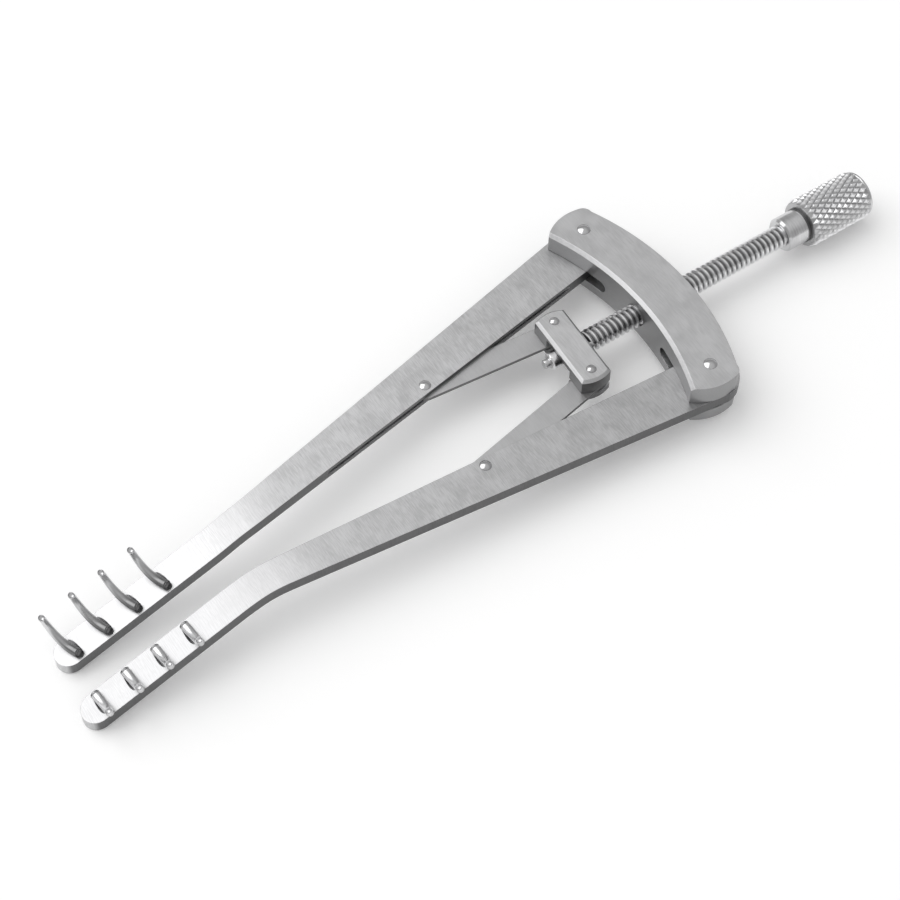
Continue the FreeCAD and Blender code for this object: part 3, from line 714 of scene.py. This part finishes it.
@dataclass
class KnurledKnob:
    """The thumb knob: neck painted dark as shade, band of diamond knurling and rounded end.

    Attributes:
        rest: Where the mechanism lies.
        knurled: Finish of the knurling.
        smooth: Finish of the turned end.
        neck_shade: Finish of the neck, near black: painted shade between the sleeve and the
            knurling.
        peak: Radius at the tops of the knurling.
        valley: Radius at the bottoms of its grooves.
        front: X of the front face of the knob.
        neck_length: Length of the neck in front of the knurling.
        neck_radius: Radius of the neck.
        neck_edge: Rounding of its edges.
        rear: X of the rear face of the knob.
        end_length: Length of the smooth end behind the knurling.
        end_lip: Height of that end above the bottoms of the grooves.
        end_edge: Rounding of its edges.
        edge_steps: Faces across a rounding.
        sides: Faces round the neck and the end.
        around: Diamonds round the knob.
        along: Diamonds along it.
        wall: Width of a diamond's sloping side, as seen from outside.
    """

    rest: Rest
    knurled: SteelFinish
    smooth: SteelFinish
    neck_shade: SteelFinish
    peak: float = 2.78
    valley: float = 2.54
    front: float = 21.15
    neck_length: float = 0.3
    neck_radius: float = 2.0
    neck_edge: float = 0.05
    rear: float = 29.7
    end_length: float = 0.2
    end_lip: float = 0.06
    end_edge: float = 0.18
    edge_steps: int = 4
    sides: int = 72
    around: int = 24
    along: int = 6
    wall: float = 0.24

    def band(self) -> bpy.types.Object:
        """Raises a blunt pyramid on every diamond between the crossing grooves.

        A bar is cut into a grid of fields, and a middle point parts each field into four
        triangles. When the grid's own lines are dissolved, every triangle joins the one
        across its line, and each such pair is a diamond.

        Returns:
            The knurled band, closed at both ends.
        """
        front = self.front + self.neck_length
        rear = self.rear - self.end_length
        band = Workbench.bar("knob_knurl", self.valley, front, rear, self.around)
        Workbench.edit(band)
        for step in range(1, self.along):
            Workbench.cut(front + (rear - front) * step / self.along)
        mesh = Workbench.pick(band, "FACE")
        grid = mesh.edges.layers.int.new("grid")
        for face in mesh.faces:
            face.select = abs(face.normal.x) < END_FACE
        for edge in mesh.edges:
            edge[grid] = int(all(face.select for face in edge.link_faces))
        bulge = self.valley * (1.0 - math.cos(math.pi / self.around))
        bpy.ops.mesh.poke(offset=bulge * MM)
        mesh = Workbench.pick(band, "EDGE")
        grid = mesh.edges.layers.int["grid"]
        for edge in mesh.edges:
            edge.select = edge[grid] == 1
        bpy.ops.mesh.dissolve_edges(use_verts=False)
        mesh = Workbench.pick(band, "FACE")
        for face in mesh.faces:
            face.select = abs(face.normal.x) < END_FACE and len(face.verts) == 4
        bpy.ops.mesh.inset(
            thickness=self.wall * MM, depth=(self.peak - self.valley) * MM, use_individual=True)
        return band

    def turning(self, name: str, radius: float, front: float, rear: float,
                rounding: float) -> bpy.types.Object:
        """Turns a short smooth cylinder with rounded edges.

        Args:
            name: Name of the piece.
            radius: Its radius, in millimetres.
            front: X of its front face.
            rear: X of its rear face.
            rounding: Radius of the rounded edges.

        Returns:
            The turned piece.
        """
        piece = Workbench.bar(name, radius, front, rear, self.sides)
        mesh = Workbench.edit(piece, "EDGE")
        for edge in mesh.edges:
            edge.select = abs(edge.verts[0].co.x - edge.verts[1].co.x) < SAME_PLACE
        bpy.ops.mesh.bevel(offset=rounding * MM, segments=self.edge_steps, affect="EDGES")
        return piece

    def build(self) -> list[bpy.types.Object]:
        """Builds, lays down and dresses the knob.

        The neck reaches its own length into the knurling, and so does the end.

        Returns:
            The pieces of the knob.
        """
        knurled, smooth, neck_shade = (
            finish.build() for finish in (self.knurled, self.smooth, self.neck_shade))
        neck = self.turning("knob_ring", self.neck_radius, self.front,
                            self.front + 2.0 * self.neck_length, self.neck_edge)
        end = self.turning("knob_end", self.valley + self.end_lip,
                           self.rear - 2.0 * self.end_length, self.rear, self.end_edge)
        pieces = []
        # The neck's near-black steel is painted shade.
        for piece, material, is_smooth in (
                (self.band(), knurled, False), (neck, neck_shade, True), (end, smooth, True)):
            Workbench.finish(piece, material, is_smooth)
            self.rest.lay(piece)
            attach(piece, "screw")
            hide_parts("knob")
            pieces.append(piece)
        return pieces


@dataclass
class Prongs:
    """The blunt wire prongs, four on each arm.

    Attributes:
        rest: Where the mechanism lies.
        finish: Finish of the wires, by the side of the arm.
        root: Radius of a wire at its root.
        tip: Radius of a wire near its tip.
        bend: Radius of the wire's curve on its centre line.
        dip: Angle at which a wire starts down towards the arm, in degrees.
        rise: Angle at which it ends above the arm, in degrees.
        steps: Rings of faces along the curve.
        sides: Faces round a wire.
        dome_rings: Rings of faces on a rounded end.
        dome_ring: Part of its full width that each of them has, so that the last leaves a
            small flat face in the middle.
        dome_height: Height of a rounded end, as a share of its radius.
        turn: By the side of the arm, the angle by which the wires point towards the arm's
            tip at their roots, and the angle by which they swing back up to their tips.
        pivot: Distance of the arm's pivot from the screw's axis.
        arm_turn: Turn of both arms about their pivots, in degrees.
        fold_end: X and Z of the end of the arm's fold, from the pivot.
        fold: Slope of the arm's front section, in degrees.
        first: Distance of the first prong from the fold.
        pitch: Distance between two prongs.
        offset: Distance of the roots from the pivot's line.
        height: Height of the root's centre above the arm's upper face.
        count: Prongs on each arm.
    """

    rest: Rest
    finish: dict[str, SteelFinish]
    root: float = 0.49
    tip: float = 0.35
    bend: float = 3.42
    dip: float = 8.0
    rise: float = 86.0
    steps: int = 18
    sides: int = 20
    dome_rings: int = 4
    dome_ring: float = 0.98
    dome_height: float = 0.9
    turn: dict[str, tuple[float, float]] = field(
        default_factory=lambda: {"far": (26.0, -40.0), "near": (184.0, 0.0)})
    pivot: float = 10.9
    arm_turn: float = 2.83
    fold_end: tuple[float, float] = (-51.517, -0.082)
    fold: float = 12.8
    first: float = 7.2
    pitch: float = 3.51
    offset: float = 8.54
    height: float = 0.34
    count: int = 4

    def wire(self, swing: float) -> bpy.types.Object:
        """Bends one wire upwards step by step, drawing it thinner, and rounds both ends.

        Args:
            swing: Angle by which the wire swings sideways over its length, in degrees.

        Returns:
            The wire, with its root at the origin and its tip towards +Y.
        """
        Workbench.clear()
        dip = math.radians(self.dip)
        bpy.ops.mesh.primitive_circle_add(
            vertices=self.sides,
            radius=self.root * MM,
            fill_type="NGON",
            rotation=(math.pi / 2.0 + dip, 0.0, 0.0),
        )
        wire = Workbench.take("prong_wire")
        Workbench.settle(wire)
        Workbench.edit(wire)
        bpy.ops.mesh.select_all(action="SELECT")
        climb = math.radians(self.dip + self.rise) / self.steps
        sway = math.radians(swing) / self.steps
        thinner = (self.tip / self.root) ** (1.0 / self.steps)
        spot = Vector()
        for step in range(self.steps):
            lean, side = climb * (step + 0.5) - dip, sway * (step + 0.5)
            heading = Vector((-math.sin(side) * math.cos(lean),
                              math.cos(side) * math.cos(lean), math.sin(lean)))
            move = heading * self.bend * climb * MM
            spot += move
            bpy.ops.mesh.extrude_region_move(TRANSFORM_OT_translate={"value": tuple(move)})
            for angle, axis in ((-climb, "X"), (-sway, "Z")):
                bpy.ops.transform.rotate(
                    value=angle, orient_axis=axis, center_override=tuple(spot))
            bpy.ops.transform.resize(value=(thinner,) * 3, center_override=tuple(spot))
        self.round_end(self.tip)
        mesh = Workbench.edit(wire)
        for face in mesh.faces:
            at_root = face.calc_center_median().length < self.root * MM
            face.select = at_root and len(face.verts) > 4
        self.round_end(self.root)
        bpy.ops.object.mode_set(mode="OBJECT")
        along = wire.data.attributes.new(ALONG_WIRE, "FLOAT", "POINT")
        for vertex, share in zip(wire.data.vertices, along.data):
            share.value = vertex.co.length / spot.length
        return wire

    def round_end(self, radius: float) -> None:
        """Domes the end face of a wire that is selected in edit mode.

        Args:
            radius: Radius of the end, in millimetres.
        """
        for ring in range(self.dome_rings):
            start, end = (math.pi / 2.0 * part / self.dome_rings
                          for part in (ring, ring + self.dome_ring))
            rise = self.dome_height * (math.sin(end) - math.sin(start))
            bpy.ops.mesh.inset(
                thickness=radius * (math.cos(start) - math.cos(end)) * MM,
                depth=radius * rise * MM)

    def place(self, side: str, number: int) -> Matrix:
        """Where one prong stands.

        Args:
            side: The arm's side: far or near.
            number: Number of the prong, counted from the fold.

        Returns:
            The matrix from the wire's own axes to the mechanism's.
        """
        sign = 1.0 if side == "far" else -1.0
        arm = Matrix.Translation(Vector((0.0, sign * self.pivot, 0.0)) * MM)
        arm @= Matrix.Rotation(math.radians(self.arm_turn), 4, "Z")
        front = Matrix.Translation(Vector((self.fold_end[0], 0.0, self.fold_end[1])) * MM)
        front @= Matrix.Rotation(-math.radians(self.fold), 4, "Y")
        along = -(self.first + (number - 1) * self.pitch)
        root = Matrix.Translation(Vector((along, -sign * self.offset, self.height)) * MM)
        return arm @ front @ root @ Matrix.Rotation(math.radians(self.turn[side][0]), 4, "Z")

    def build(self) -> list[bpy.types.Object]:
        """Bends, places and dresses all the prongs.

        Returns:
            The pieces.
        """
        pieces = []
        for side, finish in self.finish.items():
            pattern = self.wire(self.turn[side][1])
            Workbench.finish(pattern, finish.build(), smooth=True)
            for number in range(1, self.count + 1):
                piece = pattern.copy()
                piece.data = pattern.data.copy()
                piece.name = f"wire_{side}_{number}"
                bpy.context.scene.collection.objects.link(piece)
                piece.matrix_world = self.place(side, number)
                self.rest.lay(piece)
                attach(piece, f"arm_{side}")
                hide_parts(f"prong_{side}_{number}")
                pieces.append(piece)
            bpy.data.objects.remove(pattern)
        return pieces


@dataclass
class SteelNodes:
    """The solids of the tool that keep their own mesh and get a finish.

    Attributes:
        finishes: Finishes by the beginning of the names of their solids.
    """

    finishes: dict[str, SteelFinish]

    def dress(self, nodes: dict[str, bpy.types.Object]) -> list[str]:
        """Gives each solid the finish whose key is the longest beginning of its name.

        Args:
            nodes: The solids by name.

        Returns:
            Names of the solids that were dressed.
        """
        built = {start: finish.build() for start, finish in self.finishes.items()}
        dressed = []
        for name, piece in nodes.items():
            starts = [start for start in built if name.startswith(start)]
            if starts:
                piece.data.materials.clear()
                piece.data.materials.append(built[max(starts, key=len)])
                dressed.append(name)
        return dressed


@dataclass
class Studio:
    """White table, one large soft lamp and the camera of the photograph.

    Attributes:
        eye: Place of the camera, in millimetres.
        turn: Turn of the camera, in degrees.
        lens: Focal length, in millimetres.
        sensor: Width of the camera's sensor, in millimetres.
        clip: Nearest and farthest distance that the camera sees, in metres.
        table_size: Length of the table's sides, in metres.
        table_tone: Brightness of the table.
        table_roughness: Roughness of its surface.
        table_sheen: Strength of its mirrored light.
        table_glow: Light that the table adds of its own where the camera sees it, which
            brings it to the photograph's white.
        lamp_place: Place of the lamp, in metres.
        lamp_size: Length of the lamp's sides, in metres.
        lamp_power: Its power, in watts.
        room_light: Level of the room's light on everything.
        room: Brightness of the room by the sine of the height above the horizon.
    """

    eye: tuple[float, float, float] = (-64.603, -96.402, 168.999)
    turn: tuple[float, float, float] = (33.7020, 1.3220, -34.1218)
    lens: float = 78.66
    sensor: float = 36.0
    clip: tuple[float, float] = (0.01, 20.0)
    table_size: float = 4.0
    table_tone: float = 0.94
    table_roughness: float = 0.9
    table_sheen: float = 0.1
    table_glow: float = 0.1
    lamp_place: tuple[float, float, float] = (-0.36, 0.47, 0.76)
    lamp_size: float = 1.05
    lamp_power: float = 5.6
    room_light: float = 0.64
    room: tuple[tuple[float, float], ...] = (
        (0.0, 0.85), (0.12, 0.5), (0.55, 0.44), (0.8, 0.66), (1.0, 0.75))

    def camera(self) -> None:
        """Sets the camera where the photograph was taken from."""
        data = bpy.data.cameras.new("camera")
        data.lens = self.lens
        data.sensor_width = self.sensor
        data.clip_start, data.clip_end = self.clip
        camera = bpy.data.objects.new("camera", data)
        bpy.context.scene.collection.objects.link(camera)
        camera.location = Vector(self.eye) * MM
        camera.rotation_euler = Euler([math.radians(angle) for angle in self.turn], "XYZ")
        bpy.context.scene.camera = camera

    def seen(self, bench: NodeBench) -> bpy.types.NodeSocket:
        """One for rays that come straight, mirrored or through glass to the camera.

        Args:
            bench: The nodes to add to.

        Returns:
            The socket of the number.
        """
        path = bench.add("LightPath").outputs
        either = bench.math("MAXIMUM", path["Is Camera Ray"], path["Is Glossy Ray"])
        return bench.math("MAXIMUM", either, path["Is Transmission Ray"])

    def table(self) -> None:
        """Lays the white table under the tool."""
        Workbench.clear()
        bpy.ops.mesh.primitive_plane_add(size=self.table_size)
        table = Workbench.take("table")
        bench = NodeBench("table_white")
        inputs = bench.shader.inputs
        inputs["Base Color"].default_value = (*[self.table_tone] * 3, 1.0)
        inputs["Roughness"].default_value = self.table_roughness
        inputs["Specular IOR Level"].default_value = self.table_sheen
        inputs["Emission Color"].default_value = (1.0, 1.0, 1.0, 1.0)
        bench.feed(inputs["Emission Strength"],
                   bench.math("MULTIPLY", self.seen(bench), self.table_glow))
        table.data.materials.append(bench.material)

    def world(self) -> None:
        """Makes the room: even light on everything, a soft gradient where it is seen."""
        world = bpy.data.worlds.new("room")
        bpy.context.scene.world = world
        world.use_nodes = True
        bench = RoomBench(world)
        place = bench.add("TexCoord").outputs["Generated"]
        height = bench.add("SeparateXYZ", Vector=place).outputs["Z"]
        ramp = bench.add("ValToRGB", Fac=height)
        stops = ramp.color_ramp.elements
        while len(stops) < len(self.room):
            stops.new(0.5)
        for stop, (position, level) in zip(stops, self.room):
            stop.position = position
            stop.color = (level, level, level, 1.0)
        mix = bench.nodes.new("ShaderNodeMix")
        mix.data_type = "RGBA"
        bench.feed(mix.inputs["Factor"], self.seen(bench))
        mix.inputs[MIX_FIRST].default_value = (*[self.room_light] * 3, 1.0)
        bench.feed(mix.inputs[MIX_SECOND], ramp.outputs["Color"])
        bench.feed(bench.nodes["Background"].inputs["Color"], mix.outputs[MIX_RESULT])

    def lamp(self) -> None:
        """Hangs a square soft lamp that looks at the tool."""
        data = bpy.data.lights.new("key_lamp", "AREA")
        data.shape = "SQUARE"
        data.size = self.lamp_size
        data.energy = self.lamp_power
        lamp = bpy.data.objects.new("key_lamp", data)
        bpy.context.scene.collection.objects.link(lamp)
        lamp.location = self.lamp_place
        lamp.rotation_euler = (-Vector(self.lamp_place)).to_track_quat("-Z", "Y").to_euler()

    def build(self) -> None:
        """Sets up the whole studio."""
        bpy.context.scene.view_settings.view_transform = "Standard"
        self.camera()
        self.table()
        self.world()
        self.lamp()


def turned_steel(rest: Rest) -> SteelFinish:
    """The finish of everything that was turned and left plain.

    Args:
        rest: Where the mechanism lies.

    Returns:
        The finish.
    """
    return SteelFinish("turned_steel", tone=0.62, roughness=0.18, grain=Grain.ROUND,
                       marks=0.12, rest=rest)


def solid_finishes(rest: Rest) -> dict[str, SteelFinish]:
    """The finishes of the solids that keep their own mesh.

    Args:
        rest: Where the mechanism lies.

    Returns:
        The finishes by the beginning of the names of their solids.
    """
    # The arms: painted shade on upright faces, and a painted highlight towards the tips.
    bar = SteelFinish("brushed_arm", tone=0.555, roughness=0.42, grain=Grain.ACROSS,
                      marks=0.15, mark_length=1.3, mark_width=0.085, relief=0.003, side=0.3,
                      highlight_span=(-60.0, -42.0), highlight_gain=1.08, bright_end=True,
                      fold=(-49.88, 1.26, 6.0, 0.227), rest=rest)
    # The near arm: a darker copy of the same steel, painted shade.
    near_bar = replace(bar, name="brushed_near_arm", tone=0.5,
                       fold=(-50.51, 1.26, 6.0, 0.227))
    # The links: painted shade on their upright faces.
    link = replace(bar, name="brushed_link", tone=0.5, marks=0.06, relief=0.001, side=0.35,
                   highlight_span=None, bright_end=False, fold=None)
    block = SteelFinish("brushed_bracket", tone=0.6, roughness=0.38, grain=Grain.ALONG,
                        turn=90.0, marks=0.08, mark_length=1.5, mark_width=0.09,
                        relief=0.0015, side=0.55, rest=rest)
    # The crosshead: a copy of the bracket's steel with darker painted shade on its upright
    # faces.
    yoke = replace(block, name="brushed_crosshead", side=0.32)
    rivet = SteelFinish("rivet_steel", tone=0.52, roughness=0.14, grain=Grain.EVEN,
                        marks=0.1, relief=0.002, rest=rest)
    turned = turned_steel(rest)
    collar = replace(turned, name="polished_collar", tone=0.85)
    return {
        "arm_far": bar,
        "arm_near": near_bar,
        "bracket": block,
        "crosshead": yoke,
        "link": link,
        "arm_rivet": rivet,
        "crosshead_rivet": rivet,
        "pivot_pin": rivet,
        "retaining_collar": collar,
        "neck_sleeve": turned,
    }


def piece_finishes(rest: Rest) -> dict[str, SteelFinish]:
    """The finishes of the pieces that are modelled here.

    Args:
        rest: Where the mechanism lies.

    Returns:
        The finishes by their use.
    """
    plain = turned_steel(rest)
    wire = SteelFinish("polished_wire", tone=0.7, roughness=0.3, grain=Grain.EVEN,
                       marks=0.06, relief=0.001, rest=rest)
    return {
        "plain": plain,
        # Painted shade: a near-black copy of the turned steel for the knob's neck.
        "neck_shade": replace(plain, name="neck_shade_steel", tone=0.12, roughness=0.4),
        # Thread and knurl: painted shade in their grooves.
        "thread": SteelFinish("thread_steel", tone=0.8, roughness=0.22, grain=Grain.ROUND,
                              marks=0.1, mark_width=0.3, groove=(0.94, 1.2),
                              groove_shade=0.35, soft_edge=0.02, rest=rest),
        "knurl": SteelFinish("knurl_steel", tone=0.94, roughness=0.3, grain=Grain.EVEN,
                             marks=0.08, mark_length=0.6, groove=(2.54, 2.7),
                             groove_shade=0.55, soft_edge=0.02, rest=rest),
        "wire": wire,
        # Far wires: darker towards their roots.
        "dark_root_wire": replace(wire, name="dark_root_wire", root_tone=0.3),
    }


def main() -> None:
    """Builds the retractor's looks piece by piece."""
    logging.basicConfig(level=logging.INFO, format="%(message)s")
    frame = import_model()
    rest = Rest()
    dressed = SteelNodes(solid_finishes(rest)).dress(frame["nodes"])
    LOG.info("dressed %d solids", len(dressed))
    steel = piece_finishes(rest)
    makers = (
        ThreadedScrew(rest, steel["thread"], steel["plain"]),
        KnurledKnob(rest, steel["knurl"], steel["plain"], steel["neck_shade"]),
        Prongs(rest, {"far": steel["dark_root_wire"], "near": steel["wire"]}),
    )
    for maker in makers:
        for piece in maker.build():
            LOG.info("built %s", piece.name)
    Studio().build()


if __name__ == "__main__":
    main()
